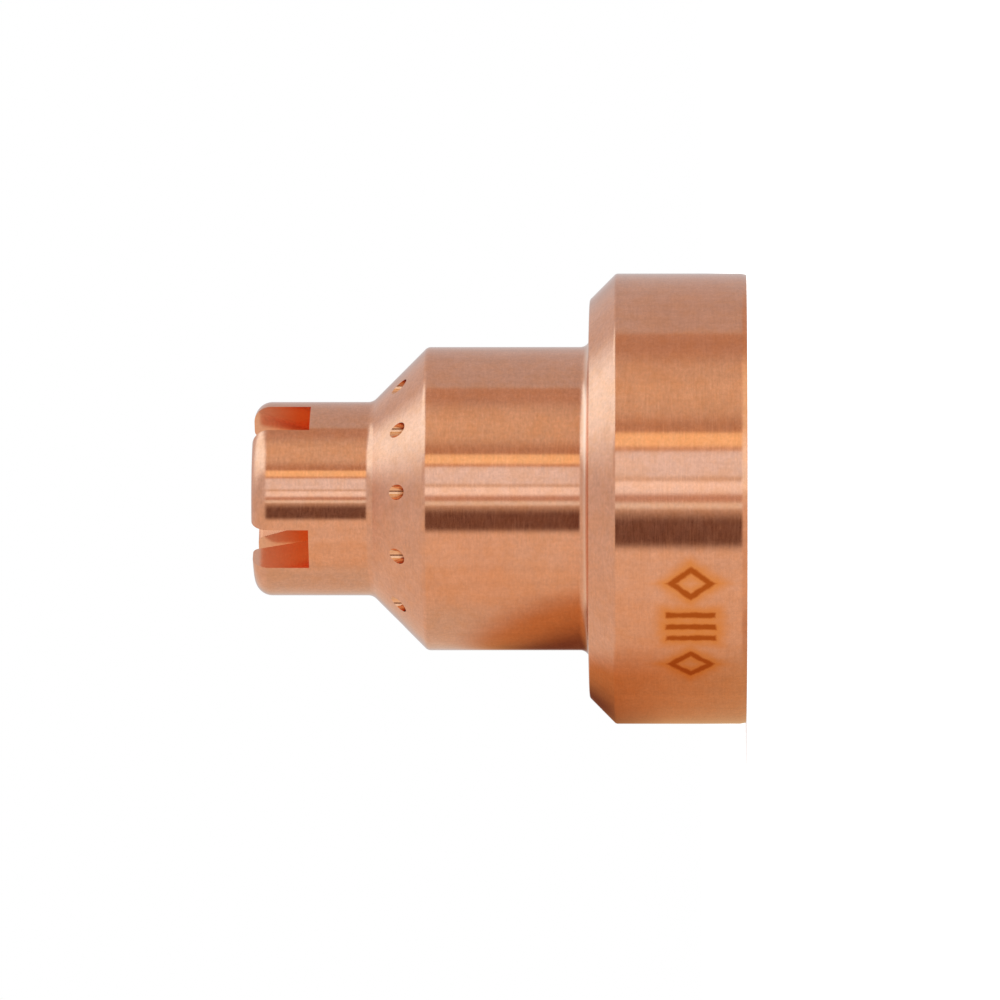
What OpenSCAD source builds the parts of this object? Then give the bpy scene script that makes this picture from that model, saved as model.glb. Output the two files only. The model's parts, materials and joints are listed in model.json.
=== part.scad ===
// Shield of a plasma cutting torch: one copper piece, turned from bar, then slotted and drilled.
// It stands on the rear face of its flange with its nose up, and Z is its turning axis.

/* [Flange] */
// Outside diameter of the flange
flange_d = 30; // [29:0.1:34]
// Length of the flange, from its rear face to its front face
flange_len = 10.4; // [9.6:0.1:14]
// Size of the 45 degree chamfer on the flange's front edge
flange_chamfer = 1.75; // [0.8:0.05:2.2]
// Length of the eased edge round the rear face
rear_ease = 0.35; // [0.1:0.05:0.8]
// How much the eased edge takes off the flange's radius
rear_ease_drop = 0.08; // [0.02:0.01:0.2]
// Radius of the two corners of the chamfer
chamfer_round = 0.3; // [0.05:0.05:0.5]
// Radius of the fillet between the flange and the body
root_fillet = 0.65; // [0.1:0.05:1]

/* [Body] */
// Outside diameter of the body
body_d = 20.22; // [19:0.02:22]
// Length of the cylindrical body, in front of the flange
body_len = 10.8; // [8:0.1:16]
// Wall of the body, round the chamber
body_wall = 1.1; // [0.8:0.05:1.8]
// Radius of the corner between the body and the cone
shoulder_round = 0.5; // [0.05:0.05:1]
// Slope of the cone, from the axis
cone_angle = 45; // [40:1:50]
// Wall of the cone, square to its surface
cone_wall = 1.5; // [1:0.05:1.9]

/* [Nose] */
// Outside diameter of the nose
nose_d = 12.9; // [12:0.1:13.8]
// Length of the nose, from the cone to its front face
nose_len = 7.85; // [7:0.05:10]
// Radius of the fillet between the cone and the nose
nose_fillet = 0.8; // [0.1:0.05:1]
// Radius of the nose's outer front edge
nose_round = 1.15; // [0.3:0.05:1.4]
// Diameter of the bore that holds the tip of the nozzle
tip_bore_d = 8.4; // [7.6:0.1:9]

/* [Cup] */
// Depth of the cup, from the front face to its floor
cup_depth = 5.35; // [4.6:0.05:6]
// Diameter of the cup's floor
cup_floor_d = 5.44; // [5:0.02:5.8]
// Slope of the cup's wall, from the axis
cup_flare = 16.4; // [10:0.1:18]
// Radius of the cup's lip
lip_round = 0.45; // [0.1:0.05:0.5]
// Diameter of the orifice that the jet leaves by
orifice_d = 4.6; // [3:0.1:4.9]
// Length of the orifice
orifice_len = 1; // [0.5:0.05:1.6]

/* [Nose slots] */
// Number of milled cuts right across the nose, each of which makes two slots
slot_cuts = 2; // [1:1:3]
// Width of a slot
slot_w = 2.94; // [2:0.02:3.4]
// Depth of a slot, from the front face
slot_depth = 3.8; // [2:0.05:4.4]
// Direction of the first slot, from +X
slot_turn = 57.9; // [0:0.1:90]

/* [Vents] */
// Number of vents in the ring
vent_count = 12; // [6:1:18]
// Diameter of a vent
vent_d = 1; // [0.6:0.05:1.2]
// Distance between a vent and the line of the chamber's wall
vent_inset = 0.2; // [0.05:0.05:0.6]
// Direction of the first vent, from +X
vent_turn = 2.9; // [0:0.1:30]

/* [Socket] */
// Bore of the threaded socket, across the crests of its thread
thread_d = 24.92; // [24:0.02:26]
// Depth of the socket, from the rear face to its seat
socket_depth = 8.2; // [7:0.05:8.8]
// Diameter of the relief groove at the bottom of the thread
relief_d = 26.2; // [26.1:0.05:27]
// Width of the relief groove
relief_w = 1.2; // [0.8:0.05:2]
// How much deeper the relief groove is than the seat
relief_undercut = 0.3; // [0.1:0.05:0.6]
// Gap between the edge of the seat and the line of the thread's crests
seat_inset = 0.3; // [0.1:0.05:1]
// Size of the 45 degree lead-in at the socket's mouth
lead_in = 0.6; // [0.2:0.05:1]

/* [Hidden] */

$fn = 160;
// Reach of a cut past the face that it starts from
over = 1;

flange_r = flange_d / 2;
body_r = body_d / 2;
nose_r = nose_d / 2;
chamber_r = body_r - body_wall;
tip_bore_r = tip_bore_d / 2;
cup_floor_r = cup_floor_d / 2;
thread_r = thread_d / 2;
seat_r = thread_r - seat_inset;

// Heights of the outside's corners
cone_z = flange_len + body_len;
cone_len = (body_r - nose_r) / tan(cone_angle);
nose_z = cone_z + cone_len;
front_z = nose_z + nose_len;

// Heights of the inside's corners
cup_floor_z = front_z - cup_depth;
tip_bore_z = cup_floor_z - orifice_len;
relief_z = socket_depth - relief_w;

// The inner cone lies one wall inside the outer one
inner_cone_drop = cone_wall / sin(cone_angle);
function inner_cone_z(r) = cone_z - inner_cone_drop + (body_r - r) / tan(cone_angle);

// Sharp corner where the cup's wall would meet the front face
lip_r = cup_floor_r + cup_depth * tan(cup_flare);

// Ring that the vents' axes stand on
vent_ring_r = chamber_r - vent_inset - vent_d / 2;

// Unit step at an angle from the first axis
function toward(angle) = [cos(angle), sin(angle)];

// Centre of the arc that rounds a corner whose sides run off at angles a and b, with a under b
function round_centre(corner, a, b, radius) =
    corner + toward((a + b) / 2) * radius / sin((b - a) / 2);

// What rounding takes off an outer corner whose sides run off at angles a and b, with a under b
module corner_cut(corner, a, b, radius) {
    centre = round_centre(corner, a, b, radius);
    difference() {
        polygon([
            centre,
            centre + toward(a - 90) * (radius + over),
            corner - toward((a + b) / 2) * over,
            centre + toward(b + 90) * (radius + over)
        ]);
        translate(centre)
            circle(radius);
    }
}

// Half section of the outside: its outer corners are sharp, and its two inner ones have fillets
module outside_outline() {
    root_centre = round_centre([body_r, flange_len], 0, 90, root_fillet);
    neck_centre = round_centre([nose_r, nose_z], cone_angle - 90, 90, nose_fillet);
    difference() {
        polygon([
            [0, 0],
            [flange_r - rear_ease_drop, 0],
            [flange_r, rear_ease],
            [flange_r, flange_len - flange_chamfer],
            [flange_r - flange_chamfer, flange_len],
            [root_centre.x, flange_len],
            root_centre,
            [body_r, root_centre.y],
            [body_r, cone_z],
            neck_centre - toward(cone_angle) * nose_fillet,
            neck_centre,
            [nose_r, neck_centre.y],
            [nose_r, front_z],
            [0, front_z]
        ]);
        translate(root_centre)
            circle(root_fillet);
        translate(neck_centre)
            circle(nose_fillet);
    }
}

// Half section of the hollow that runs through the shield, from the socket's mouth to the cup
module hollow_outline() {
    polygon([
        [0, -over],
        [thread_r + lead_in + over, -over],
        [thread_r, lead_in],
        [thread_r, relief_z],
        [relief_d / 2, relief_z],
        [relief_d / 2, socket_depth + relief_undercut],
        [seat_r, socket_depth + relief_undercut],
        [seat_r, socket_depth],
        [chamber_r, socket_depth],
        [chamber_r, inner_cone_z(chamber_r)],
        [tip_bore_r, inner_cone_z(tip_bore_r)],
        [tip_bore_r, tip_bore_z],
        [orifice_d / 2, tip_bore_z],
        [orifice_d / 2, cup_floor_z],
        [cup_floor_r, cup_floor_z],
        [lip_r + over * tan(cup_flare), front_z + over],
        [0, front_z + over]
    ]);
}

// The shield as it leaves the lathe
module turned_blank() {
    rotate_extrude()
        difference() {
            outside_outline();
            hollow_outline();
            corner_cut([flange_r, flange_len - flange_chamfer], 135, 270, chamfer_round);
            corner_cut([flange_r - flange_chamfer, flange_len], 180, 315, chamfer_round);
            corner_cut([body_r, cone_z], 90 + cone_angle, 270, shoulder_round);
            corner_cut([nose_r, front_z], 180, 270, nose_round);
            corner_cut([lip_r, front_z], 270 - cup_flare, 360, lip_round);
        }
}

// One milled cut across the nose: two slots, open to the front and into the cup
module slot_cut() {
    translate([-nose_r - over, -slot_w / 2, front_z - slot_depth])
        cube([nose_d + 2 * over, slot_w, slot_depth + over]);
}

module nose_slots() {
    for (i = [0 : slot_cuts - 1])
        rotate([0, 0, slot_turn + i * 180 / slot_cuts])
            slot_cut();
}

// Ring of vents, drilled along the axis through the cone into the chamber
module vents() {
    vent_z = inner_cone_z(chamber_r);
    for (i = [0 : vent_count - 1])
        rotate([0, 0, vent_turn + i * 360 / vent_count])
            translate([vent_ring_r, 0, vent_z])
                cylinder(d = vent_d, h = front_z - vent_z);
}

module shield() {
    color("#c98462")
        difference() {
            turned_blank();
            nose_slots();
            vents();
        }
}

shield();
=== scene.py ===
import json
import math

import bmesh
import bpy
import numpy as np
from mathutils import Matrix, Vector


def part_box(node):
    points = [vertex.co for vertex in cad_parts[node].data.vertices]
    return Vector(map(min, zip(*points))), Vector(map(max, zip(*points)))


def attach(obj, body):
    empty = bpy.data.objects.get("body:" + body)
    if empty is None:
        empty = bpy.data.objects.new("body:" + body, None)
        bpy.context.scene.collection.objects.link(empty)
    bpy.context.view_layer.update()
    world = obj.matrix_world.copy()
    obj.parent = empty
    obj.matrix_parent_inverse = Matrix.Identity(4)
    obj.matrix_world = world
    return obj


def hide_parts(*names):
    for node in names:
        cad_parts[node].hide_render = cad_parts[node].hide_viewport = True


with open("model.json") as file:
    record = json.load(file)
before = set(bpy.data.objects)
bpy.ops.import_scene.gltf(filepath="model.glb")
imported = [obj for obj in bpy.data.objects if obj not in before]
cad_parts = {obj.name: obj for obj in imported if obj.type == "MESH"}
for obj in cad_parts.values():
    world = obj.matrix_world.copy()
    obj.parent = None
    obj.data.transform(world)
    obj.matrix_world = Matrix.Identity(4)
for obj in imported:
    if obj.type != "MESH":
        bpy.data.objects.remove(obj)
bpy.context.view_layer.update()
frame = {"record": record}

bl_info = {
    "name": "Plasma torch shield",
    "version": (1, 0, 0),
    "blender": (4, 5, 0),
    "location": "3D View > Sidebar > Shield",
    "description": "Turns, slots, drills and finishes a torch shield, and sets up its studio",
    "category": "Add Mesh",
}

MM = 0.001
BOX_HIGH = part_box("shield")[1]
MOUNTS = {mount["name"]: mount for mount in frame["record"]["mounts"]}
COPPER = frame["record"]["materials"][0]["base_color"]


def mount_radius(name):
    """Wall radius of a round mount, in metres."""
    return MOUNTS[name]["dims"]["r_mm"] * MM


def size(name, text, default):
    """A length that a user may change."""
    return bpy.props.FloatProperty(
        name=name, description=text, default=default, min=0, precision=5, unit="LENGTH"
    )


def angle(name, text, degrees):
    """An angle that a user may change."""
    return bpy.props.FloatProperty(
        name=name, description=text, default=math.radians(degrees), unit="ROTATION"
    )


def colour(name, text, default):
    """A colour that a user may change."""
    return bpy.props.FloatVectorProperty(
        name=name, description=text, default=default, size=3, min=0, soft_max=1, subtype="COLOR"
    )


def share(name, text, default):
    """A number from 0 to 1 that a user may change."""
    return bpy.props.FloatProperty(
        name=name, description=text, default=default, min=0, max=1, subtype="FACTOR"
    )


class ShieldSizes(bpy.types.PropertyGroup):
    """Sizes of the shield, the same as in the part's source."""

    flange_r: size("Flange radius", "Outside radius of the flange", BOX_HIGH.x)
    flange_len: size("Flange length", "Rear face to front face of the flange", 10.4 * MM)
    flange_chamfer: size("Flange chamfer", "Chamfer on the flange's front edge", 1.75 * MM)
    rear_ease: size("Rear edge", "Length of the eased edge round the rear face", 0.35 * MM)
    rear_ease_drop: size("Rear edge's drop", "What the eased edge takes off the radius", 0.08 * MM)
    chamfer_round: size("Chamfer's corners", "Radius of the chamfer's two corners", 0.3 * MM)
    root_fillet: size("Root fillet", "Fillet between flange and body", 0.65 * MM)
    body_r: size("Body radius", "Outside radius of the body", 10.11 * MM)
    shoulder_z: size("Shoulder height", "Height at which the cone starts", 21.2 * MM)
    shoulder_round: size("Shoulder radius", "Corner between body and cone", 0.5 * MM)
    cone_wall: size("Cone wall", "Wall of the cone, square to it", 1.5 * MM)
    nose_r: size("Nose radius", "Outside radius of the nose", 6.45 * MM)
    nose_fillet: size("Nose fillet", "Fillet between cone and nose", 0.8 * MM)
    nose_round: size("Nose edge", "Radius of the nose's outer front edge", 1.15 * MM)
    front_z: size("Length", "Rear face to front face of the shield", BOX_HIGH.z)
    cup_depth: size("Cup depth", "Front face to the floor of the cup", 5.35 * MM)
    cup_floor_r: size("Cup floor", "Radius of the cup's floor", 2.72 * MM)
    cup_flare: angle("Cup flare", "Slope of the cup's wall from the axis", 16.4)
    lip_round: size("Lip", "Radius of the cup's lip", 0.45 * MM)
    orifice_r: size("Orifice", "Radius of the orifice", 2.3 * MM)
    orifice_len: size("Orifice length", "Length of the orifice", 1 * MM)
    tip_bore_r: size("Tip bore", "Radius of the bore round the nozzle's tip", 4.2 * MM)
    chamber_r: size("Chamber", "Radius of the chamber", mount_radius("nozzle_chamber"))
    slot_w: size("Slot width", "Width of a nose slot", 2.94 * MM)
    slot_depth: size("Slot depth", "Depth of a nose slot", 3.8 * MM)
    slot_turn: angle("Slot direction", "Direction of the first slot from +X", 57.9)
    slot_cuts: bpy.props.IntProperty(
        name="Slot cuts", description="Cuts right across the nose", default=2, min=1
    )
    vent_r: size("Vent radius", "Radius of a vent", 0.5 * MM)
    vent_inset: size("Vent inset", "Gap between a vent and the chamber's wall", 0.2 * MM)
    vent_turn: angle("Vent direction", "Direction of the first vent from +X", 2.9)
    vent_count: bpy.props.IntProperty(
        name="Vents", description="Number of vents in the ring", default=12, min=1
    )
    thread_r: size("Thread crests", "Radius of the thread's crests", mount_radius("socket_thread"))
    thread_depth: size("Thread depth", "Crest to root of the thread", 0.54 * MM)
    thread_pitch: size("Thread pitch", "Pitch of the thread", 1 * MM)
    socket_depth: size("Socket depth", "Rear face to seat", MOUNTS["socket_seat"]["pos_m"][2])
    seat_inset: size("Seat inset", "Gap between seat and thread crests", 0.3 * MM)
    relief_r: size("Relief radius", "Radius of the relief groove", 13.1 * MM)
    relief_w: size("Relief width", "Width of the groove behind the seat", 1.2 * MM)
    relief_undercut: size("Relief undercut", "Groove's depth past the seat", 0.3 * MM)
    lead_in: size("Lead-in", "Chamfer at the socket's mouth", 0.6 * MM)


class ShieldFinish(bpy.types.PropertyGroup):
    """Colours and finish of the copper."""

    copper: colour("Copper", "Fresh turned copper", COPPER)
    # The slots' copper is redder deep down, as painted shade, and paler near their mouths and on
    # their floors, as painted light
    milled_copper: colour("Milled copper", "Bright, redder copper in the slots", (0.92, 0.28, 0.09))
    milled_painted_light: colour("Milled edge", "Paler copper at the slots' front ends", (0.84, 0.46, 0.31))
    bore_copper: colour("Bore copper", "Duller copper inside", (0.82, 0.33, 0.18))
    drilled_copper: colour("Drilled copper", "Bright copper in the vents", (0.94, 0.51, 0.31))
    drilled_deep: colour("Deep in a vent", "Shaded copper further down a vent", (0.45, 0.12, 0.03))
    # Painted highlight in the root fillet, paler than the copper
    root_painted_light: colour("Root copper", "Paler copper in the root fillet", (0.91, 0.57, 0.42))
    heat_brown: colour("Mark", "Laser-annealed strokes of the mark", (0.50, 0.10, 0.01))
    heat_halo: colour("Mark's halo", "Heat tint round the strokes", (0.80, 0.28, 0.06))
    roughness: share("Roughness", "Roughness of a turned surface", 0.16)
    drawn_out: share("Anisotropy", "How far the turning marks draw out a highlight", 1.0)
    mark_z: size("Mark height", "Height of the mark's middle on the flange", 3.67 * MM)
    mark_turn: angle("Mark direction", "Direction of the mark's middle from +X", -123.8)
    mark_h: size("Mark size", "Height of the mark's strokes", 3.3 * MM)
    stroke: size("Stroke", "Width of the mark's strokes", 0.45 * MM)


class StudioSettings(bpy.types.PropertyGroup):
    """Camera and light."""

    distance: size("Camera distance", "From the turning axis to the camera", 513 * MM)
    camera_z: size("Camera height", "Height of the camera above the rear face", 3.6 * MM)
    aim_x: bpy.props.FloatProperty(
        name="Aim across", description="Where the camera aims, across the axis", default=-0.09 * MM
    )
    aim_z: size("Aim height", "Where the camera aims, along the axis", 16.4 * MM)
    lens: bpy.props.FloatProperty(
        name="Lens", description="Focal length in millimetres", default=277
    )
    floor_white: share("Floor", "Paleness of the floor", 0.8)
    fill: share("Fill light", "Plain level of the light from all round", 0.75)


# Section of the turned blank

# Small roundings on corners that the part's source has sharp
REAR_FACE_ROUND = 0.03 * MM
REAR_EASE_ROUND = 1 * MM
ORIFICE_ROUND = 0.05 * MM
# An arc's fewest steps, and the length of its chord that takes one step more
ARC_STEPS = 8
STEP_LENGTH = 0.1 * MM
# How far a point may lie from the middle of an arc's chord, in halves of the chord, and be its own
ARC_REACH = 1.3


def section_corners(s):
    """Corners of the closed half section as (radius, height, rounding), up the outside and down
    the inside."""
    inner_cone = s.shoulder_z + s.body_r - s.cone_wall * math.sqrt(2)
    nose_z = s.shoulder_z + s.body_r - s.nose_r
    lip_r = s.cup_floor_r + s.cup_depth * math.tan(s.cup_flare)
    cup_floor_z = s.front_z - s.cup_depth
    tip_bore_z = cup_floor_z - s.orifice_len
    seat_r = s.thread_r - s.seat_inset
    relief_top = s.socket_depth + s.relief_undercut
    relief_z = s.socket_depth - s.relief_w
    return [
        (s.flange_r - s.rear_ease_drop, 0, REAR_FACE_ROUND),
        (s.flange_r, s.rear_ease, REAR_EASE_ROUND),
        (s.flange_r, s.flange_len - s.flange_chamfer, s.chamfer_round),
        (s.flange_r - s.flange_chamfer, s.flange_len, s.chamfer_round),
        (s.body_r, s.flange_len, s.root_fillet),
        (s.body_r, s.shoulder_z, s.shoulder_round),
        (s.nose_r, nose_z, s.nose_fillet),
        (s.nose_r, s.front_z, s.nose_round),
        (lip_r, s.front_z, s.lip_round),
        (s.cup_floor_r, cup_floor_z, 0),
        (s.orifice_r, cup_floor_z, ORIFICE_ROUND),
        (s.orifice_r, tip_bore_z, 0),
        (s.tip_bore_r, tip_bore_z, 0),
        (s.tip_bore_r, inner_cone - s.tip_bore_r, 0),
        (s.chamber_r, inner_cone - s.chamber_r, 0),
        (s.chamber_r, s.socket_depth, 0),
        (seat_r, s.socket_depth, 0),
        (seat_r, relief_top, 0),
        (s.relief_r, relief_top, 0),
        (s.relief_r, relief_z, 0),
        (s.thread_r, relief_z, 0),
        (s.thread_r, s.lead_in, 0),
        (s.thread_r + s.lead_in, 0, 0),
    ]


class Side:
    """One side of the section: a straight line, or an arc when it has a centre."""

    def __init__(self, start, end, centre=None, bulges=True):
        self.start = np.array(start, float)
        self.end = np.array(end, float)
        self.centre = centre
        self.bulges = bulges

    def points(self, steps):
        """Points from the start up to, but without, the end."""
        t = np.arange(steps)[:, None] / steps
        if self.centre is None:
            return self.start + (self.end - self.start) * t
        radius = np.linalg.norm(self.start - self.centre)
        a, b = (math.atan2(*(p - self.centre)[::-1]) for p in (self.start, self.end))
        turn = (b - a + math.pi) % (2 * math.pi) - math.pi
        spread = a + turn * t
        return self.centre + radius * np.hstack([np.cos(spread), np.sin(spread)])

    def steps(self):
        """How many steps the side needs to look smooth."""
        if self.centre is None:
            return 1
        chord = np.linalg.norm(self.end - self.start)
        return ARC_STEPS + int(chord / STEP_LENGTH)

    def distance(self, points):
        """Distance of each point from this side."""
        if self.centre is not None:
            radius = np.linalg.norm(self.start - self.centre)
            off = np.abs(np.linalg.norm(points - self.centre, axis=1) - radius)
            middle = (self.start + self.end) / 2
            reach = ARC_REACH * np.linalg.norm(self.end - middle)
            beyond = np.linalg.norm(points - middle, axis=1) > reach
            return np.where(beyond, np.inf, off)
        along = self.end - self.start
        t = np.clip(((points - self.start) @ along) / (along @ along), 0, 1)
        return np.linalg.norm(points - self.start - t[:, None] * along, axis=1)

    def normals(self, points):
        """Outward normal of the surface at each point, in the section's plane."""
        if self.centre is None:
            along = (self.end - self.start) / np.linalg.norm(self.end - self.start)
            return np.tile([along[1], -along[0]], (len(points), 1))
        out = points - self.centre
        out = out / np.linalg.norm(out, axis=1)[:, None]
        return out if self.bulges else -out


def section_sides(corners):
    """Sides of the section, with an arc at each rounded corner."""
    spots = [np.array(corner[:2], float) for corner in corners]
    count = len(corners)
    cuts = []
    for i, (spot, corner) in enumerate(zip(spots, corners)):
        back = spots[i - 1] - spot
        ahead = spots[(i + 1) % count] - spot
        back /= np.linalg.norm(back)
        ahead /= np.linalg.norm(ahead)
        half = math.acos(np.clip(back @ ahead, -1, 1)) / 2
        reach = corner[2] / math.tan(half)
        middle = (back + ahead) / np.linalg.norm(back + ahead)
        centre = spot + middle * corner[2] / math.sin(half)
        bulges = back[1] * ahead[0] - back[0] * ahead[1] > 0
        cuts.append((spot + back * reach, spot + ahead * reach, centre, bulges))
    sides = []
    for i, (corner, cut) in enumerate(zip(corners, cuts)):
        if corner[2] > 0:
            sides.append(Side(*cut))
        sides.append(Side(cut[1], cuts[(i + 1) % count][0]))
    return sides


# Mesh of the shield

LATHE_STEPS = 360
THREAD_STEPS = 14
VENT_STEPS = 40
# How far a cutter reaches past the shield, and how far below the shoulder a drill starts
PAST = 1 * MM
DRILL_START = 1.2 * MM
# Lengths nearer than this are the same; and how near a face lies to the section that it is on, how
# nearly it faces the same way, and how nearly upright and how near its axis a vent's wall is
SAME = 1e-9
ON_SECTION = 0.004 * MM
FACES_ALIKE = 0.95
UPRIGHT = 0.01
IN_VENT = 1.02
# A face of the thread lies at least so far below the relief, and at most so far inside the crests
BELOW_RELIEF = 1e-7
INSIDE_CRESTS = 1e-6
# Parts of the pitch that the flat crest and the flat root of the thread take up
CREST, ROOT = 0.25, 0.125
ZONES = ("turned", "bored", "milled", "drilled")


def thread_radius(s, heights, angles):
    """Radius of the threaded wall: flat crests, flat roots and 60 degree flanks."""
    phase = (heights / s.thread_pitch - angles / (2 * math.pi)) % 1
    rise = (1 - np.abs(2 * phase - 1) - CREST) / (1 - CREST - ROOT)
    return s.thread_r + s.thread_depth * np.clip(rise, 0, 1)


def blank_mesh(s, sides):
    """The blank as it leaves the lathe, with its thread, as one closed grid of quads."""
    relief_z = s.socket_depth - s.relief_w
    rings = []
    for side in sides:
        steps = side.steps()
        threaded = side.centre is None and max(side.start[1], side.end[1]) <= relief_z + SAME
        inside = max(side.start[0], side.end[0]) <= s.thread_r + s.lead_in + SAME
        if threaded and inside:
            rise = abs(side.end[1] - side.start[1])
            steps = max(1, round(rise / s.thread_pitch * THREAD_STEPS))
        rings.append(side.points(steps))
    rings = np.vstack(rings)
    turns = np.arange(LATHE_STEPS) * 2 * math.pi / LATHE_STEPS
    radius = np.repeat(rings[:, :1], LATHE_STEPS, axis=1)
    height = np.repeat(rings[:, 1:], LATHE_STEPS, axis=1)
    in_thread = (height <= relief_z + SAME) & (radius <= s.thread_r + s.lead_in + SAME)
    thread_wall = thread_radius(s, height, turns[None, :])
    radius = np.where(in_thread, np.maximum(radius, thread_wall), radius)
    points = np.stack([radius * np.cos(turns), radius * np.sin(turns), height], axis=2)
    count = len(rings)
    faces = []
    for k in range(count):
        low, high = k * LATHE_STEPS, (k + 1) % count * LATHE_STEPS
        for j in range(LATHE_STEPS):
            after = (j + 1) % LATHE_STEPS
            faces.append((low + j, low + after, high + after, high + j))
    mesh = bpy.data.meshes.new("shield_blank")
    mesh.from_pydata(points.reshape(-1, 3).tolist(), [], faces)
    return mesh


def slot_cutter(s, turn):
    """A bar right across the nose, which mills two slots."""
    tool = bmesh.new()
    bmesh.ops.create_cube(tool, size=1)
    length = 2 * (s.nose_r + PAST)
    height = s.slot_depth + PAST
    middle = (0, 0, s.front_z - s.slot_depth + height / 2)
    place = Matrix.Rotation(turn, 4, "Z") @ Matrix.Translation(middle)
    grow = Matrix.Diagonal((length, s.slot_w, height, 1))
    bmesh.ops.transform(tool, matrix=place @ grow, verts=tool.verts)
    return tool


def vent_axes(s):
    """Where the vents' axes cross the plane of the rear face."""
    ring_r = s.chamber_r - s.vent_inset - s.vent_r
    turns = [s.vent_turn + i * 2 * math.pi / s.vent_count for i in range(s.vent_count)]
    return [Vector((ring_r * math.cos(t), ring_r * math.sin(t), 0)) for t in turns]


def vent_cutter(s):
    """Drills, one for each vent, from the chamber out through the cone."""
    tool = bmesh.new()
    low = s.shoulder_z - DRILL_START
    for axis in vent_axes(s):
        place = Matrix.Translation(axis + Vector((0, 0, (low + s.front_z) / 2)))
        bmesh.ops.create_cone(
            tool, cap_ends=True, segments=VENT_STEPS, radius1=s.vent_r, radius2=s.vent_r,
            depth=s.front_z - low, matrix=place,
        )
    return tool


def mesh_of(form, name):
    """Mesh of a form that bmesh holds, which it then lets go."""
    mesh = bpy.data.meshes.new(name)
    form.to_mesh(mesh)
    form.free()
    return mesh


def cut(piece, tool):
    """Takes the tool's space out of the piece."""
    cutter = bpy.data.objects.new("tool", mesh_of(tool, "tool"))
    bpy.context.scene.collection.objects.link(cutter)
    step = piece.modifiers.new("cut", "BOOLEAN")
    step.operation = "DIFFERENCE"
    step.solver = "EXACT"
    step.object = cutter
    bpy.context.view_layer.update()
    depsgraph = bpy.context.evaluated_depsgraph_get()
    result = bpy.data.meshes.new_from_object(piece.evaluated_get(depsgraph))
    piece.modifiers.clear()
    piece.data = result
    bpy.data.objects.remove(cutter)


def finish_normals(s, mesh, sides):
    """Gives each face its zone, and each corner the true normal of the surface it lies on."""
    points = np.array([v.co for v in mesh.vertices], float)
    flat = np.array([p.normal for p in mesh.polygons], float)
    centres = np.array([p.center for p in mesh.polygons], float)
    section = np.column_stack([np.hypot(centres[:, 0], centres[:, 1]), centres[:, 2]])
    gaps = np.array([side.distance(section) for side in sides])
    nearest = gaps.argmin(axis=0)
    out = centres[:, :2] / section[:, :1]
    first_bore = next(
        i for i, side in enumerate(sides)
        if side.end[1] < side.start[1] and side.start[0] < s.nose_r
    )
    relief_z = s.socket_depth - s.relief_w
    axes = np.array([a[:2] for a in vent_axes(s)])
    corner_normals = np.zeros((len(mesh.loops), 3))
    smooth = np.array([v.normal for v in mesh.vertices], float)
    for face in mesh.polygons:
        i = face.index
        side = sides[nearest[i]]
        rings = section[i:i + 1]
        want = side.normals(rings)[0]
        want = np.array([want[0] * out[i, 0], want[0] * out[i, 1], want[1]])
        loops = list(face.loop_indices)
        corners = [mesh.loops[k].vertex_index for k in loops]
        spots = points[corners]
        radius, height = section[i]
        to_vents = np.linalg.norm(axes - centres[i, :2], axis=1)
        in_thread = s.thread_r - INSIDE_CRESTS < radius < s.relief_r
        if height < relief_z - BELOW_RELIEF and in_thread:
            zone = "bored"
            normals = smooth[corners]
        elif gaps[nearest[i], i] < ON_SECTION and want @ flat[i] > FACES_ALIKE:
            zone = "bored" if nearest[i] >= first_bore else "turned"
            radii = np.hypot(spots[:, 0], spots[:, 1])
            plane = side.normals(np.column_stack([radii, spots[:, 2]]))
            normals = np.column_stack([
                plane[:, 0] * spots[:, 0] / radii, plane[:, 0] * spots[:, 1] / radii, plane[:, 1]
            ])
        elif abs(flat[i, 2]) < UPRIGHT and to_vents.min() < s.vent_r * IN_VENT:
            zone = "drilled"
            inward = axes[to_vents.argmin()] - spots[:, :2]
            inward /= np.linalg.norm(inward, axis=1)[:, None]
            normals = np.column_stack([inward, np.zeros(len(inward))])
        else:
            zone = "milled"
            normals = np.tile(flat[i], (len(loops), 1))
        face.material_index = ZONES.index(zone)
        corner_normals[loops] = normals
    mesh.polygons.foreach_set("use_smooth", [True] * len(mesh.polygons))
    mesh.normals_split_custom_set(corner_normals.tolist())


# Materials

# Where most of a noise's values lie
NOISE_RANGE = (0.3, 0.7)
# A mix node's sockets for its factor and its two colours, and for the colour that it gives
MIX_INPUTS = (0, 6, 7)
MIX_RESULT = 2


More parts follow.
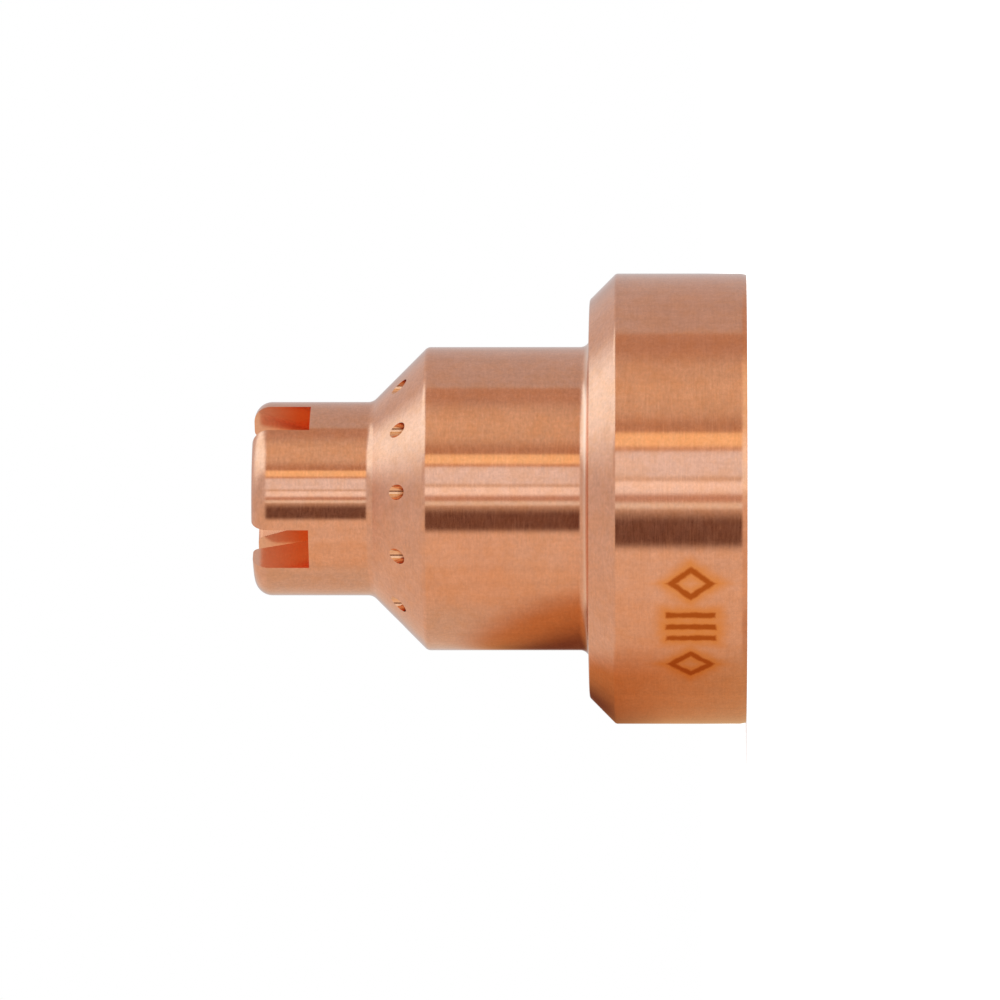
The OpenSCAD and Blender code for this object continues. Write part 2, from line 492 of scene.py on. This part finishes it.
class Graph:
    """The nodes of a material or of the world, made and linked in one call each."""

    def __init__(self, owner):
        owner.use_nodes = True
        self.owner = owner
        self.tree = owner.node_tree
        self.tree.nodes.clear()

    def feed(self, socket, value):
        """Sets a socket, or links it where the value is another socket."""
        if isinstance(value, bpy.types.NodeSocket):
            self.tree.links.new(value, socket)
        else:
            socket.default_value = value

    def add(self, kind, inputs=None, **settings):
        node = self.tree.nodes.new(kind)
        for key, value in settings.items():
            setattr(node, key, value)
        for key, value in (inputs or {}).items():
            self.feed(node.inputs[key], value)
        return node

    def math(self, operation, *values):
        node = self.add("ShaderNodeMath", operation=operation)
        for socket, value in zip(node.inputs, values):
            self.feed(socket, value)
        return node.outputs[0]

    def vector(self, x, y, z):
        return self.add("ShaderNodeCombineXYZ", {"X": x, "Y": y, "Z": z}).outputs[0]

    def spread(self, value, low, high, to_low=0.0, to_high=1.0, soft=False):
        node = self.add(
            "ShaderNodeMapRange",
            {
                "Value": value, "From Min": low, "From Max": high,
                "To Min": to_low, "To Max": to_high,
            },
            interpolation_type="SMOOTHSTEP" if soft else "LINEAR",
        )
        return node.outputs["Result"]

    def vary(self, noise, low, high):
        """Spreads a noise, most of which lies within NOISE_RANGE, from low to high."""
        return self.spread(noise, *NOISE_RANGE, low, high)

    def between(self, value, middle, half, soft_low, soft_high):
        """1 where the value lies within half of the middle, with soft sides."""
        low, high = middle - half, middle + half
        rise = self.spread(value, low - soft_low / 2, low + soft_low / 2, soft=True)
        fall = self.spread(value, high + soft_high / 2, high - soft_high / 2, soft=True)
        return self.math("MULTIPLY", rise, fall)

    def blend(self, factor, first, second, kind="MIX"):
        node = self.add("ShaderNodeMix", data_type="RGBA", blend_type=kind)
        for key, value in zip(MIX_INPUTS, (factor, first, second)):
            self.feed(node.inputs[key], value)
        return node.outputs[MIX_RESULT]

    def noise(self, vector, scale, detail, rough):
        node = self.add(
            "ShaderNodeTexNoise",
            {"Vector": vector, "Scale": scale, "Detail": detail, "Roughness": rough},
        )
        return node.outputs["Fac"]

    def bump(self, height, distance):
        node = self.add("ShaderNodeBump", {"Height": height, "Distance": distance, "Strength": 1.0})
        return node.outputs[0]

    def place(self):
        """The point's place on its own piece: the vector, then x, y and z."""
        position = self.add("ShaderNodeTexCoord").outputs["Object"]
        split = self.add("ShaderNodeSeparateXYZ", {"Vector": position})
        return position, *(split.outputs[key] for key in "XYZ")

    def glow(self, shade):
        return self.add("ShaderNodeEmission", {"Color": shade, "Strength": 1.0}).outputs[0]

    def surface(self, shader):
        self.add("ShaderNodeOutputMaterial", {"Surface": shader})
        return self.owner


def material_graph(name):
    return Graph(bpy.data.materials.new(name))


def rgba(values, strength=1.0):
    return tuple(v * strength for v in values[:3]) + (1.0,)


class Places:
    """Where a point lies on the turned piece: its position and its radius."""

    def __init__(self, g):
        self.position, self.x, self.y, self.z = g.place()
        squares = (g.math("MULTIPLY", value, value) for value in (self.x, self.y))
        self.radius = g.math("SQRT", g.math("ADD", *squares))

    def rings(self, g, round_scale, along_scale, detail, rough):
        """Noise drawn out round the axis, like the marks of a turning tool."""
        unit_x, unit_y = (g.math("DIVIDE", value, self.radius) for value in (self.x, self.y))
        along = g.math("SUBTRACT", self.z, self.radius)
        vector = g.vector(
            g.math("MULTIPLY", unit_x, round_scale),
            g.math("MULTIPLY", unit_y, round_scale),
            g.math("MULTIPLY", along, along_scale),
        )
        return g.noise(vector, 1.0, detail, rough)

    def lengthways(self, g, across_scale, along_scale, detail, rough):
        """Noise drawn out along the axis, like the marks of handling."""
        vector = g.vector(
            g.math("MULTIPLY", self.x, across_scale),
            g.math("MULTIPLY", self.y, across_scale),
            g.math("MULTIPLY", self.z, along_scale),
        )
        return g.noise(vector, 1.0, detail, rough)


# The mark's parts across the flange: the middles of its two diamonds and of its three bars, and
# how much taller than wide a diamond is
DIAMONDS = (-3.2 * MM, 3.2 * MM)
BARS = (-0.9 * MM, 0, 0.9 * MM)
DIAMOND_LEAN = 1.35
# Noise that makes the strokes' edges ragged, and how far inside the flange's wall the mark goes
RAGGED = (1600, 3, 0.6)
MARK_DEPTH = 0.2 * MM
# The mark's heat tint and its strokes: how far outside a stroke's edge each starts, where it is
# full, how round its corners are and how ragged its edge is
MARK_HALO = (0.95 * MM, -0.15 * MM, 0.6 * MM, 0.1 * MM)
MARK_INK = (0.07 * MM, -0.13 * MM, 0.05 * MM, 0.05 * MM)


def mark_mask(g, p, f, flange_r, outer, inner, round_off, ragged):
    """1 in the strokes of the mark, which are plain bars between two open diamonds, fading to 0
    between the distances inner and outer from a stroke's edge."""
    turn = g.math("ARCTAN2", p.y, p.x)
    across = g.math("MULTIPLY", g.math("SUBTRACT", turn, f.mark_turn), flange_r)
    up = g.math("SUBTRACT", p.z, f.mark_z)
    half = f.mark_h / 2
    slant = math.hypot(DIAMOND_LEAN, 1)
    strokes = []
    for middle in DIAMONDS:
        aside = g.math("ABSOLUTE", g.math("SUBTRACT", across, middle))
        aside = g.math("MULTIPLY", aside, DIAMOND_LEAN)
        shape = g.math("ADD", aside, g.math("ABSOLUTE", up))
        ring = g.math("ABSOLUTE", g.math("SUBTRACT", shape, half - f.stroke * slant / 2))
        strokes.append(g.math("SUBTRACT", g.math("DIVIDE", ring, slant), f.stroke / 2))
    for middle in BARS:
        aside = g.math("ABSOLUTE", g.math("SUBTRACT", across, middle))
        aside = g.math("SUBTRACT", aside, f.stroke / 2)
        end = g.math("SUBTRACT", g.math("ABSOLUTE", up), half)
        strokes.append(g.math("SMOOTH_MAX", aside, end, round_off))
    nearest = strokes[0]
    for stroke in strokes[1:]:
        nearest = g.math("SMOOTH_MIN", nearest, stroke, round_off)
    wobble = g.vary(g.noise(p.position, *RAGGED), -ragged, ragged)
    nearest = g.math("ADD", nearest, wobble)
    on_flange = g.math("GREATER_THAN", p.radius, flange_r - MARK_DEPTH)
    mask = g.spread(nearest, outer, inner, soft=True)
    return g.math("MULTIPLY", mask, on_flange)


# Rotation, in turns, that draws a highlight out square to the turning marks
QUARTER_TURN = 0.25


def copper_shader(g, f, base, roughness, bump_height, lines):
    """Metal with the normal, the roughness and the drawn-out highlight of a turned surface."""
    tangent = g.add("ShaderNodeTangent", direction_type="RADIAL", axis="Z")
    return g.add(
        "ShaderNodeBsdfPrincipled",
        {
            "Base Color": base, "Metallic": 1.0, "Roughness": roughness,
            "Anisotropic": f.drawn_out, "Anisotropic Rotation": QUARTER_TURN,
            "Normal": g.bump(lines, bump_height), "Tangent": tangent.outputs[0],
        },
    ).outputs[0]


def toned(g, base, *tones):
    """The base colour times each of the tones."""
    tone = tones[0]
    for other in tones[1:]:
        tone = g.math("MULTIPLY", tone, other)
    return g.blend(1.0, base, g.vector(tone, tone, tone), "MULTIPLY")


# Noise of each kind of mark, as scales, detail and roughness. Lines round the axis have a scale
# round it and one along it, and marks of handling have one across it and one along it.
FINE_LINES = (14, 9000, 3, 0.6)
BROAD_LINES = (5, 1500, 2, 0.5)
BORE_LINES = (4, 6000, 3, 0.6)
HANDLING = (1700, 70, 2, 0.6)
CLOUDS = (320, 3, 0.55)
GRAIN = (4200, 2, 0.6)
TARNISH = (110, 2, 0.5)
MOTTLE = (900, 3, 0.7)
MILL_MARKS = (5200, 3, 0.6)
DRILL_MARKS = (9000, 3, 0.6)
# Darkest and palest tone that each kind of mark gives
TONES = {
    "fine": (0.94, 1.045),
    "broad": (0.975, 1.02),
    "cloud": (0.97, 1.02),
    "grain": (0.95, 1.05),
    "handling": (0.95, 1.03),
    "bored": (0.88, 1.06),
    "milled": (0.94, 1.04),
    "drilled": (0.85, 1.03),
}
# Narrower stretches of a noise, which leave only its peaks or sharpen it
GRAIN_RANGE = (0.35, 0.65)
TARNISH_RANGE = (0.5, 0.75)
MOTTLE_RANGE = (0.42, 0.62)
# How strongly the tarnish, the mottle, and the mark's tint and ink cover the copper
TARNISH_COVER = 0.15
MOTTLE_COVER = 0.16
MARK_COVER = 0.9
# How bright the tarnish is, in parts of milled copper, and the root's painted shade, in parts of
# bored
TARNISH_SHADE = 0.9
ROOT_SHADOW_TONE = 0.6
# Heights of the lines that turning, boring and milling leave
TURNED_LINES = 0.5e-6
BORED_LINES = 1.0e-6
MILLED_LINES = 0.3e-6
# Least and most roughness of a turned surface, in parts of its own, and of a bored one; how much
# rougher the mark's ink is; how rough and how metallic a milled surface is, and how rough a
# drilled one
TURNED_ROUGH = (0.9, 1.15)
BORED_ROUGH = (0.24, 0.34)
INK_ROUGH = 0.15
MILLED_ROUGH = 0.1
MILLED_METAL = 0.85
DRILLED_ROUGH = 0.16
# The root fillet's painted highlight: the heights above the flange where it starts and where it is
# full, the blur of its edges, and the stretch of X over which it turns into painted shade on the -X
# side
ROOT_FADE = (0.4 * MM, 0.15 * MM)
ROOT_BLUR = 0.05 * MM
ROOT_SHADED_SIDE = (-6.4 * MM, -7.6 * MM)


def root_mask(g, p, s):
    """1 in the fillet between flange and body."""
    low = g.spread(p.z, *(s.flange_len + rise for rise in ROOT_FADE))
    half = s.root_fillet / 2
    in_ring = g.between(p.radius, s.body_r + half, half, ROOT_BLUR, ROOT_BLUR)
    return g.math("MULTIPLY", low, in_ring)


def turned_copper(s, f):
    g = material_graph("turned_copper")
    p = Places(g)
    fine = p.rings(g, *FINE_LINES)
    base = toned(
        g, rgba(f.copper),
        g.vary(fine, *TONES["fine"]),
        g.vary(p.rings(g, *BROAD_LINES), *TONES["broad"]),
        g.vary(g.noise(p.position, *CLOUDS), *TONES["cloud"]),
        g.spread(g.noise(p.position, *GRAIN), *GRAIN_RANGE, *TONES["grain"]),
        g.vary(p.lengthways(g, *HANDLING), *TONES["handling"]),
    )
    tarnish = g.spread(g.noise(p.position, *TARNISH), *TARNISH_RANGE)
    tarnished = rgba(f.milled_copper, TARNISH_SHADE)
    base = g.blend(g.math("MULTIPLY", tarnish, TARNISH_COVER), base, tarnished)
    mottle = g.spread(g.noise(p.position, *MOTTLE), *MOTTLE_RANGE)
    base = g.blend(g.math("MULTIPLY", mottle, MOTTLE_COVER), base, rgba(f.heat_halo))
    # Painted light and shade in the root fillet: a painted highlight that turns into painted shade
    # towards -X
    root_shaded = g.spread(p.x, *ROOT_SHADED_SIDE, soft=True)
    root = g.blend(root_shaded, rgba(f.root_painted_light), rgba(f.bore_copper, ROOT_SHADOW_TONE))
    base = g.blend(root_mask(g, p, s), base, root)
    halo = mark_mask(g, p, f, s.flange_r, *MARK_HALO)
    inked = mark_mask(g, p, f, s.flange_r, *MARK_INK)
    base = g.blend(g.math("MULTIPLY", halo, MARK_COVER), base, rgba(f.heat_halo))
    base = g.blend(g.math("MULTIPLY", inked, MARK_COVER), base, rgba(f.heat_brown))
    rough = g.vary(fine, *(f.roughness * part for part in TURNED_ROUGH))
    rough = g.math("ADD", rough, g.math("MULTIPLY", inked, INK_ROUGH))
    return g.surface(copper_shader(g, f, base, rough, TURNED_LINES, fine))


def bored_copper(s, f):
    g = material_graph("bored_copper")
    p = Places(g)
    fine = p.rings(g, *BORE_LINES)
    base = toned(g, rgba(f.bore_copper), g.vary(fine, *TONES["bored"]))
    rough = g.vary(fine, *BORED_ROUGH)
    return g.surface(copper_shader(g, f, base, rough, BORED_LINES, fine))


# Painted light and shade in the slots: how far below the front face a slot's walls start to turn
# paler, as painted light, and where they are palest, while deeper down they keep the redder copper
# as painted shade; how far above its floor the floor's painted light starts, and where it is full
SLOT_MOUTH_LIGHT = (3 * MM, 0.3 * MM)
SLOT_FLOOR_LIGHT = (0.06 * MM, 0.03 * MM)


def milled_copper(s, f):
    g = material_graph("milled_copper")
    position, _, _, z = g.place()
    arcs = g.noise(position, *MILL_MARKS)
    # Painted light near the slot's mouth and on its floor, over the redder copper that paints the
    # shade deeper down
    mouth_light = g.spread(z, *(s.front_z - depth for depth in SLOT_MOUTH_LIGHT))
    base = g.blend(mouth_light, rgba(f.milled_copper), rgba(f.milled_painted_light))
    floor_z = s.front_z - s.slot_depth
    floor_light = g.spread(z, *(floor_z + rise for rise in SLOT_FLOOR_LIGHT))
    base = g.blend(floor_light, base, rgba(f.milled_painted_light))
    base = toned(g, base, g.vary(arcs, *TONES["milled"]))
    shader = g.add(
        "ShaderNodeBsdfPrincipled",
        {
            "Base Color": base, "Metallic": MILLED_METAL, "Roughness": MILLED_ROUGH,
            "Normal": g.bump(arcs, MILLED_LINES),
        },
    )
    return g.surface(shader.outputs[0])


# How far below the cone a vent's wall starts to darken, and where it is darkest
VENT_SHADE = (0.5 * MM, 0.95 * MM)


def drilled_copper(s, f):
    g = material_graph("drilled_copper")
    p = Places(g)
    grain = g.noise(p.position, *DRILL_MARKS)
    depth = g.math("SUBTRACT", s.shoulder_z + s.body_r, g.math("ADD", p.z, p.radius))
    deep = g.spread(depth, *VENT_SHADE)
    base = g.blend(deep, rgba(f.drilled_copper), rgba(f.drilled_deep))
    base = toned(g, base, g.vary(grain, *TONES["drilled"]))
    shader = g.add(
        "ShaderNodeBsdfPrincipled",
        {"Base Color": base, "Metallic": 1.0, "Roughness": DRILLED_ROUGH},
    )
    return g.surface(shader.outputs[0])


# Studio

# The tent's upright cards, lamps and screens, all seen level with the shield. Each has its middle
# and half width, the softness of its two sides, in degrees round from the camera towards +X, and
# its colour.
ROOM = (0.70, 0.60, 0.48)
UPRIGHTS = {
    "far_wall": (178, 86, 12, 6, (0.62, 0.61, 0.62)),
    "warm_wall": (-122, 40, 30, 30, (0.73, 0.69, 0.60)),
    "warm_screen": (-62, 26, 30, 30, (0.84, 0.71, 0.55)),
    "pale_screen": (-38, 14.5, 12, 3.5, (0.87, 0.78, 0.66)),
    "black_card": (-16.2, 8.4, 6.5, 9.0, (0.12, 0.045, 0.026)),
    "thin_lamp": (-3.5, 1.5, 1.6, 1.4, (1.03, 1.18, 1.18)),
    "camera_side": (0.4, 2.0, 1.2, 1.4, (0.62, 0.44, 0.36)),
    "low_lamp": (5.6, 3.3, 3.0, 1.6, (1.20, 1.36, 1.46)),
    "lamp_gap": (10.0, 1.3, 1.4, 1.4, (0.76, 0.72, 0.64)),
    "soft_box": (17.5, 6.5, 1.6, 2.0, (0.98, 1.12, 1.25)),
    "warm_gap": (25.2, 1.2, 1.2, 1.2, (0.72, 0.50, 0.32)),
    "warm_lamp": (30.7, 4.4, 1.2, 1.6, (1.20, 1.03, 0.62)),
    "dark_edge": (38.0, 4.6, 1.8, 10.0, (0.53, 0.33, 0.20)),
    "side_screen": (55.5, 10.5, 22.0, 20.0, (0.79, 0.66, 0.48)),
    "side_card": (84.0, 8.5, 14.0, 3.0, (0.58, 0.43, 0.33)),
}
# What is under the tent: a warm table, with the lamps' light on it
TABLE = (0.63, 0.45, 0.31)
TABLE_LIGHTS = {
    "low_light": (-42.0, 20.0, 16.0, 16.0, (0.80, 0.64, 0.48)),
    "front_light": (-12.0, 14.0, 14.0, 10.0, (0.86, 0.72, 0.58)),
    "side_light": (54.0, 24.0, 10.0, 20.0, (1.06, 1.00, 0.76)),
    "near_light": (17.0, 15.0, 14.0, 14.0, (1.22, 1.36, 1.32)),
}
# Heights in the tent over which the ceiling and the table take over from the uprights, and the
# least height that the ceiling's parts are worked out with
CEILING_RISE = (0.22, 0.42)
TABLE_DROP = (-0.15, -0.35)
LEAST_HEIGHT = 0.05
# The tent's ceiling: its colour over -X and over +X, and where the one turns into the other; and
# the soft box in it, as (middle, half width, softness) across and along in parts of the
# ceiling's height, then how far the box slants over the camera's side, and its colour
CEILING = ((0.80, 0.73, 0.64), (0.71, 0.71, 0.72))
CEILING_TURN = (-0.6, 0.3)
CEILING_BOX = ((1.00, 0.75, 0.50), (-0.60, 1.17, 0.50), 0.5, (1.28, 1.66, 1.88))
# A card close beside the flange, seen only in the metal, that paints the reflection of the shield's
# own shadow on a table: its distance from the axis, its reach as (low y, high y, low z, high z),
# and the y where it starts to fade and where it has faded out. Its outer and inner painted shadows
# each have the centre and the reach of a curve as (y, y reach, z, z reach), then where the shade
# begins and where it is full.
CARD_X = -16 * MM
CARD_SIZE = (-16 * MM, 60 * MM, -12 * MM, 24 * MM)
CARD_FADE = (14 * MM, 52 * MM)
OUTER_SHADE = (8.2 * MM, 19 * MM, 8 * MM, 10.6 * MM, 1.20, 0.84)
INNER_SHADE = (16 * MM, 26 * MM, 6 * MM, 13 * MM, 1.00, 0.58)
# The card's colours low, high and in its inner shade, all painted shadow, and the heights over
# which the first turns into the second and over which the inner shade comes in
CARD_COLOURS = ((0.65, 0.46, 0.26), (0.60, 0.30, 0.115), (0.18, 0.06, 0.03))
CARD_WARMS = (0, 9 * MM)
CARD_DEEPENS = (5 * MM, 11.5 * MM)


def tent_material():
    """The inside of the light tent: lamps, cards and soft boxes that only the metal shows."""
    g = material_graph("light_tent")
    x, y, z = g.place()[1:]
    turn = g.math("DEGREES", g.math("ARCTAN2", x, g.math("MULTIPLY", y, -1)))
    from_back = g.math("FLOORED_MODULO", turn, 360)
    shown = rgba(ROOM)
    for name, (middle, half, low, high, shade) in UPRIGHTS.items():
        way = from_back if name == "far_wall" else turn
        mask = g.between(way, middle, half, low, high)
        shown = g.blend(mask, shown, rgba(shade))
    table = rgba(TABLE)
    for middle, half, low, high, shade in TABLE_LIGHTS.values():
        table = g.blend(g.between(turn, middle, half, low, high), table, rgba(shade))
    height = g.math("MAXIMUM", z, LEAST_HEIGHT)
    across = g.math("DIVIDE", x, height)
    along = g.math("DIVIDE", y, height)
    side = g.spread(across, *CEILING_TURN, soft=True)
    ceiling = g.blend(side, rgba(CEILING[0]), rgba(CEILING[1]))
    box_across, box_along, slant, box_colour = CEILING_BOX
    slanted = g.math("ADD", across, g.math("MULTIPLY", g.math("MINIMUM", along, 0), slant))
    mask = g.math(
        "MULTIPLY",
        g.between(slanted, *box_across, box_across[2]),
        g.between(along, *box_along, box_along[2]),
    )
    ceiling = g.blend(mask, ceiling, rgba(box_colour))
    shown = g.blend(g.spread(z, *CEILING_RISE, soft=True), shown, ceiling)
    shown = g.blend(g.spread(z, *TABLE_DROP, soft=True), shown, table)
    return g.surface(g.glow(shown))


def curved_shade(g, y, z, shade):
    """1 inside a shade whose edge is a quarter of an ellipse, above and before its centre."""
    y_centre, y_reach, z_centre, z_reach, begins, full = shade
    before = g.math("MAXIMUM", g.math("SUBTRACT", y_centre, y), 0)
    above = g.math("MAXIMUM", g.math("SUBTRACT", z, z_centre), 0)
    before = g.math("DIVIDE", before, y_reach)
    above = g.math("DIVIDE", above, z_reach)
    squares = (g.math("MULTIPLY", value, value) for value in (before, above))
    return g.spread(g.math("SQRT", g.math("ADD", *squares)), begins, full, soft=True)


def shadow_card_material():
    """A painted reflection of the shield's shadow on a table: a warm shade with soft edges, clear
    all round.
    """
    g = material_graph("warm_card")
    y, z = g.place()[2:]
    low, high, deep = map(rgba, CARD_COLOURS)
    shade = g.blend(g.spread(z, *CARD_WARMS), low, high)
    inner = curved_shade(g, y, z, INNER_SHADE)
    inner = g.math("MULTIPLY", inner, g.spread(z, *CARD_DEEPENS))
    shade = g.blend(inner, shade, deep)
    clear = g.add("ShaderNodeBsdfTransparent").outputs[0]
    fade = g.spread(y, CARD_FADE[1], CARD_FADE[0], soft=True)
    mask = g.math("MULTIPLY", curved_shade(g, y, z, OUTER_SHADE), fade)
    mix = g.add("ShaderNodeMixShader", {0: mask, 1: clear, 2: g.glow(shade)})
    return g.surface(mix.outputs[0])


def seen_directly(g):
    """1 for rays that show the backdrop: the camera's, and those in gloss or through glass."""
    path = g.add("ShaderNodeLightPath")
    seen = g.math("MAXIMUM", path.outputs["Is Camera Ray"], path.outputs["Is Glossy Ray"])
    return g.math("MAXIMUM", seen, path.outputs["Is Transmission Ray"])


# What lifts the lit floor to white where it is seen
FLOOR_LIFT = 0.42


def floor_material(studio):
    """Pale floor that is plain white to the camera away from the shield's shadow."""
    g = material_graph("studio_floor")
    white = studio.floor_white
    matt = g.add("ShaderNodeBsdfDiffuse", {"Color": (white, white, white, 1)}).outputs[0]
    lift = g.math("MULTIPLY", seen_directly(g), FLOOR_LIFT)
    glow = g.add("ShaderNodeEmission", {"Strength": lift}).outputs[0]
    return g.surface(g.add("ShaderNodeAddShader", {0: matt, 1: glow}).outputs[0])


def make_world(studio):
    world = bpy.data.worlds.new("studio_world")
    g = Graph(world)
    strength = g.spread(seen_directly(g), 0, 1, studio.fill, 1)
    light = g.add("ShaderNodeBackground", {"Color": (1, 1, 1, 1), "Strength": strength})
    g.add("ShaderNodeOutputWorld", {"Surface": light.outputs[0]})
    bpy.context.scene.world = world


# Sizes of the stage's round pieces and of its lamp, the lamp's power and place, and the camera's
# sensor, in millimetres, and nearest distance
TENT_RADIUS = 1.0
TENT_SEGMENTS = 96
FLOOR_RADIUS = 2.0
FLOOR_SEGMENTS = 96
LAMP_WIDTH = 0.45
LAMP_POWER = 4.0
LAMP_PLACE = (0.35, 0.1, 0.65)
SENSOR_WIDTH = 36
NEAREST_SEEN = 10 * MM


def stage_piece(name, mesh, material):
    piece = bpy.data.objects.new(name, mesh)
    bpy.context.scene.collection.objects.link(piece)
    mesh.materials.append(material)
    return piece


def only_in_gloss(piece):
    """Leaves a piece of the stage to the metal's reflections."""
    piece.visible_camera = False
    piece.visible_diffuse = False
    piece.visible_shadow = False
    piece.visible_transmission = False


# A card seen only in the metal, which holds the painted reflection of the shield's shadow on a
# table
def make_shadow_card():
    y_low, y_high, z_low, z_high = CARD_SIZE
    card = bmesh.new()
    corners = ((y_low, z_low), (y_high, z_low), (y_high, z_high), (y_low, z_high))
    card.faces.new([card.verts.new((CARD_X, y, z)) for y, z in corners])
    mesh = mesh_of(card, "warm_card")
    only_in_gloss(stage_piece("warm_card", mesh, shadow_card_material()))


def make_tent(centre_z):
    tent = bmesh.new()
    bmesh.ops.create_uvsphere(
        tent, u_segments=TENT_SEGMENTS, v_segments=TENT_SEGMENTS // 2, radius=TENT_RADIUS
    )
    piece = stage_piece("light_tent", mesh_of(tent, "light_tent"), tent_material())
    piece.location.z = centre_z
    only_in_gloss(piece)


def make_floor(studio):
    floor = bmesh.new()
    bmesh.ops.create_circle(floor, cap_ends=True, segments=FLOOR_SEGMENTS, radius=FLOOR_RADIUS)
    piece = stage_piece("studio_floor", mesh_of(floor, "studio_floor"), floor_material(studio))
    piece.visible_glossy = False


def make_lamp():
    light = bpy.data.lights.new("key_lamp", "AREA")
    light.shape = "DISK"
    light.size = LAMP_WIDTH
    light.energy = LAMP_POWER
    lamp = bpy.data.objects.new("key_lamp", light)
    lamp.location = LAMP_PLACE
    lamp.rotation_euler = (Vector(lamp.location) * -1).to_track_quat("-Z", "Y").to_euler()
    lamp.visible_glossy = False
    bpy.context.scene.collection.objects.link(lamp)


def make_camera(studio):
    """A long lens level with the flange, rolled so that the nose points left."""
    place = Vector((studio.aim_x, -studio.distance, studio.camera_z))
    aim = Vector((studio.aim_x, 0, studio.aim_z))
    back = (place - aim).normalized()
    up = Vector((1, 0, 0))
    right = up.cross(back).normalized()
    up = back.cross(right)
    camera = bpy.data.cameras.new("camera")
    camera.lens = studio.lens
    camera.sensor_width = SENSOR_WIDTH
    camera.clip_start = NEAREST_SEEN
    holder = bpy.data.objects.new("camera", camera)
    turn = Matrix((right, up, back)).transposed().to_4x4()
    holder.matrix_world = Matrix.Translation(place) @ turn
    bpy.context.scene.collection.objects.link(holder)
    bpy.context.scene.camera = holder


class SHIELD_OT_make_shield(bpy.types.Operator):
    """Turn the shield, mill its slots, drill its vents and finish its surfaces"""

    bl_idname = "shield.make_shield"
    bl_label = "Shield"

    def execute(self, context):
        s = context.scene.shield_sizes
        f = context.scene.shield_finish
        sides = section_sides(section_corners(s))
        piece = bpy.data.objects.new("copper_shield", blank_mesh(s, sides))
        context.scene.collection.objects.link(piece)
        for i in range(s.slot_cuts):
            cut(piece, slot_cutter(s, s.slot_turn + i * math.pi / s.slot_cuts))
        cut(piece, vent_cutter(s))
        piece.data.materials.clear()
        for make in (turned_copper, bored_copper, milled_copper, drilled_copper):
            piece.data.materials.append(make(s, f))
        finish_normals(s, piece.data, sides)
        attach(piece, "root")
        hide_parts("shield")
        return {"FINISHED"}


class SHIELD_OT_make_studio(bpy.types.Operator):
    """Set up the floor, the light tent, the lamp and the camera"""

    bl_idname = "shield.make_studio"
    bl_label = "Studio"

    def execute(self, context):
        studio = context.scene.shield_studio
        make_world(studio)
        make_floor(studio)
        make_tent(context.scene.shield_sizes.front_z / 2)
        make_shadow_card()
        make_lamp()
        make_camera(studio)
        context.scene.view_settings.view_transform = "Standard"
        return {"FINISHED"}


class SHIELD_PT_panel(bpy.types.Panel):
    """Lists the steps that build the shield and its studio"""

    bl_idname = "SHIELD_PT_panel"
    bl_label = "Torch shield"
    bl_space_type = "VIEW_3D"
    bl_region_type = "UI"
    bl_category = "Shield"

    def draw(self, context):
        for group in ("shield_sizes", "shield_finish", "shield_studio"):
            settings = getattr(context.scene, group)
            box = self.layout.box()
            for name in settings.__annotations__:
                box.prop(settings, name)
        self.layout.operator(SHIELD_OT_make_shield.bl_idname)
        self.layout.operator(SHIELD_OT_make_studio.bl_idname)


CLASSES = (
    ShieldSizes,
    ShieldFinish,
    StudioSettings,
    SHIELD_OT_make_shield,
    SHIELD_OT_make_studio,
    SHIELD_PT_panel,
)


def register():
    for item in CLASSES:
        bpy.utils.register_class(item)
    bpy.types.Scene.shield_sizes = bpy.props.PointerProperty(type=ShieldSizes)
    bpy.types.Scene.shield_finish = bpy.props.PointerProperty(type=ShieldFinish)
    bpy.types.Scene.shield_studio = bpy.props.PointerProperty(type=StudioSettings)


def unregister():
    del bpy.types.Scene.shield_sizes
    del bpy.types.Scene.shield_finish
    del bpy.types.Scene.shield_studio
    for item in reversed(CLASSES):
        bpy.utils.unregister_class(item)


def main():
    register()
    bpy.ops.shield.make_studio()
    bpy.ops.shield.make_shield()


if __name__ == "__main__":
    main()
